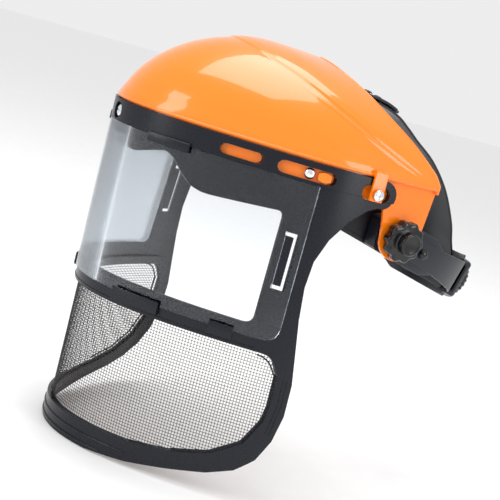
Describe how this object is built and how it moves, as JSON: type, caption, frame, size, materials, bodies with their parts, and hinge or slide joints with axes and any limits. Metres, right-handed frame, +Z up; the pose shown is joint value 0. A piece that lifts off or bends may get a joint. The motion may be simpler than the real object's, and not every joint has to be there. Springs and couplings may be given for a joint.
{
  "type": "face shield",
  "caption": "Brush-cutting face shield: rounded brow guard over a half clear, half wire-mesh visor, on a ratchet headgear with crown strap; the shield tilts up.",
  "frame": {"origin": "middle of the headband's opening, where the wearer's head holds the headgear", "axes": "+Z up, the shield's front towards -Y, the wearer's left towards +X"},
  "size_m": [0.246, 0.3404, 0.3145],
  "materials": {
    "guard_orange": "glossy moulded orange polypropylene",
    "frame_black": "semi-gloss moulded black",
    "clear_film": "clear flexible sheet",
    "mesh_steel": "dark painted woven wire",
    "strap_black": "satin moulded black",
    "knob_black": "semi-gloss moulded black",
    "pad_foam": "dark foam with a soft cloth face",
    "screw_chrome": "bright plated steel",
    "bolt_steel": "plain steel",
    "washer_nylon": "natural nylon"
  },
  "bodies": {
    "headgear": {"headband": "strap_black", "forehead_pad": "pad_foam", "left_side_strap": "strap_black", "right_side_strap": "strap_black", "left_strap_rivet": "knob_black", "right_strap_rivet": "knob_black", "crown_strap_front": "strap_black", "crown_strap_rear": "strap_black", "front_crown_peg": "knob_black", "rear_crown_peg": "knob_black", "left_pivot_bracket": "strap_black", "right_pivot_bracket": "strap_black", "left_friction_washer": "washer_nylon", "right_friction_washer": "washer_nylon", "left_pivot_bolt": "bolt_steel", "right_pivot_bolt": "bolt_steel"},
    "shield": {"brow_guard": "guard_orange", "visor_frame": "frame_black", "clear_window": "clear_film", "wire_mesh": "mesh_steel", "mesh_clamp": "frame_black", "front_screw": "screw_chrome", "front_nut": "bolt_steel", "left_lug_screw": "screw_chrome", "left_lug_nut": "bolt_steel", "left_band_stud": "screw_chrome", "left_stud_retainer": "bolt_steel", "right_lug_screw": "screw_chrome", "right_lug_nut": "bolt_steel", "right_band_stud": "screw_chrome", "right_stud_retainer": "bolt_steel"},
    "left_knob": {"left_tilt_knob": "knob_black", "left_knob_nut": "bolt_steel"},
    "right_knob": {"right_tilt_knob": "knob_black", "right_knob_nut": "bolt_steel"},
    "cradle": {"rear_cradle": "strap_black", "nape_pad": "pad_foam", "ratchet_cover": "strap_black", "click_ring": "washer_nylon"},
    "ratchet": {"ratchet_pinion": "washer_nylon", "ratchet_pawl": "washer_nylon", "ratchet_knob": "knob_black", "ratchet_screw": "bolt_steel"},
    "left_toothed_strap": {"left_rack": "strap_black"},
    "right_toothed_strap": {"right_rack": "strap_black"}
  },
  "joints": [
    {"name": "shield_raise", "type": "hinge", "parent": "headgear", "child": "shield", "pos_m": [0, -0.019, 0.00509], "axis": [-1, 0, 0], "range_deg": [0, 85]},
    {"name": "left_knob_turn", "type": "hinge", "parent": "headgear", "child": "left_knob", "pos_m": [0.107, -0.019, 0.00509], "axis": [1, 0, 0], "range_deg": [0, 180]},
    {"name": "right_knob_turn", "type": "hinge", "parent": "headgear", "child": "right_knob", "pos_m": [-0.107, -0.019, 0.00509], "axis": [-1, 0, 0], "range_deg": [0, 180]},
    {"name": "cradle_slide", "type": "slide", "parent": "headgear", "child": "cradle", "axis": [0, 0.9659, -0.2588], "range_m": [-0.008, 0.012]},
    {"name": "ratchet_turn", "type": "hinge", "parent": "cradle", "child": "ratchet", "pos_m": [0, 0.10663, -0.02858], "axis": [0, 0.9659, -0.2588], "range_deg": [-78, 116]},
    {"name": "left_rack_run", "type": "hinge", "parent": "cradle", "child": "left_toothed_strap", "pos_m": [0, 0.03943, -0.01057], "axis": [0, -0.2588, -0.9659], "range_deg": [-6.8, 10]},
    {"name": "right_rack_run", "type": "hinge", "parent": "cradle", "child": "right_toothed_strap", "pos_m": [0, 0.03943, -0.01057], "axis": [0, 0.2588, 0.9659], "range_deg": [-6.8, 10]}
  ],
  "couplings": [
    {"joint": "ratchet_turn", "follows": "cradle_slide", "rad_per_m": 166.67},
    {"joint": "left_rack_run", "follows": "cradle_slide", "rad_per_m": 14.151},
    {"joint": "right_rack_run", "follows": "cradle_slide", "rad_per_m": 14.151}
  ]
}
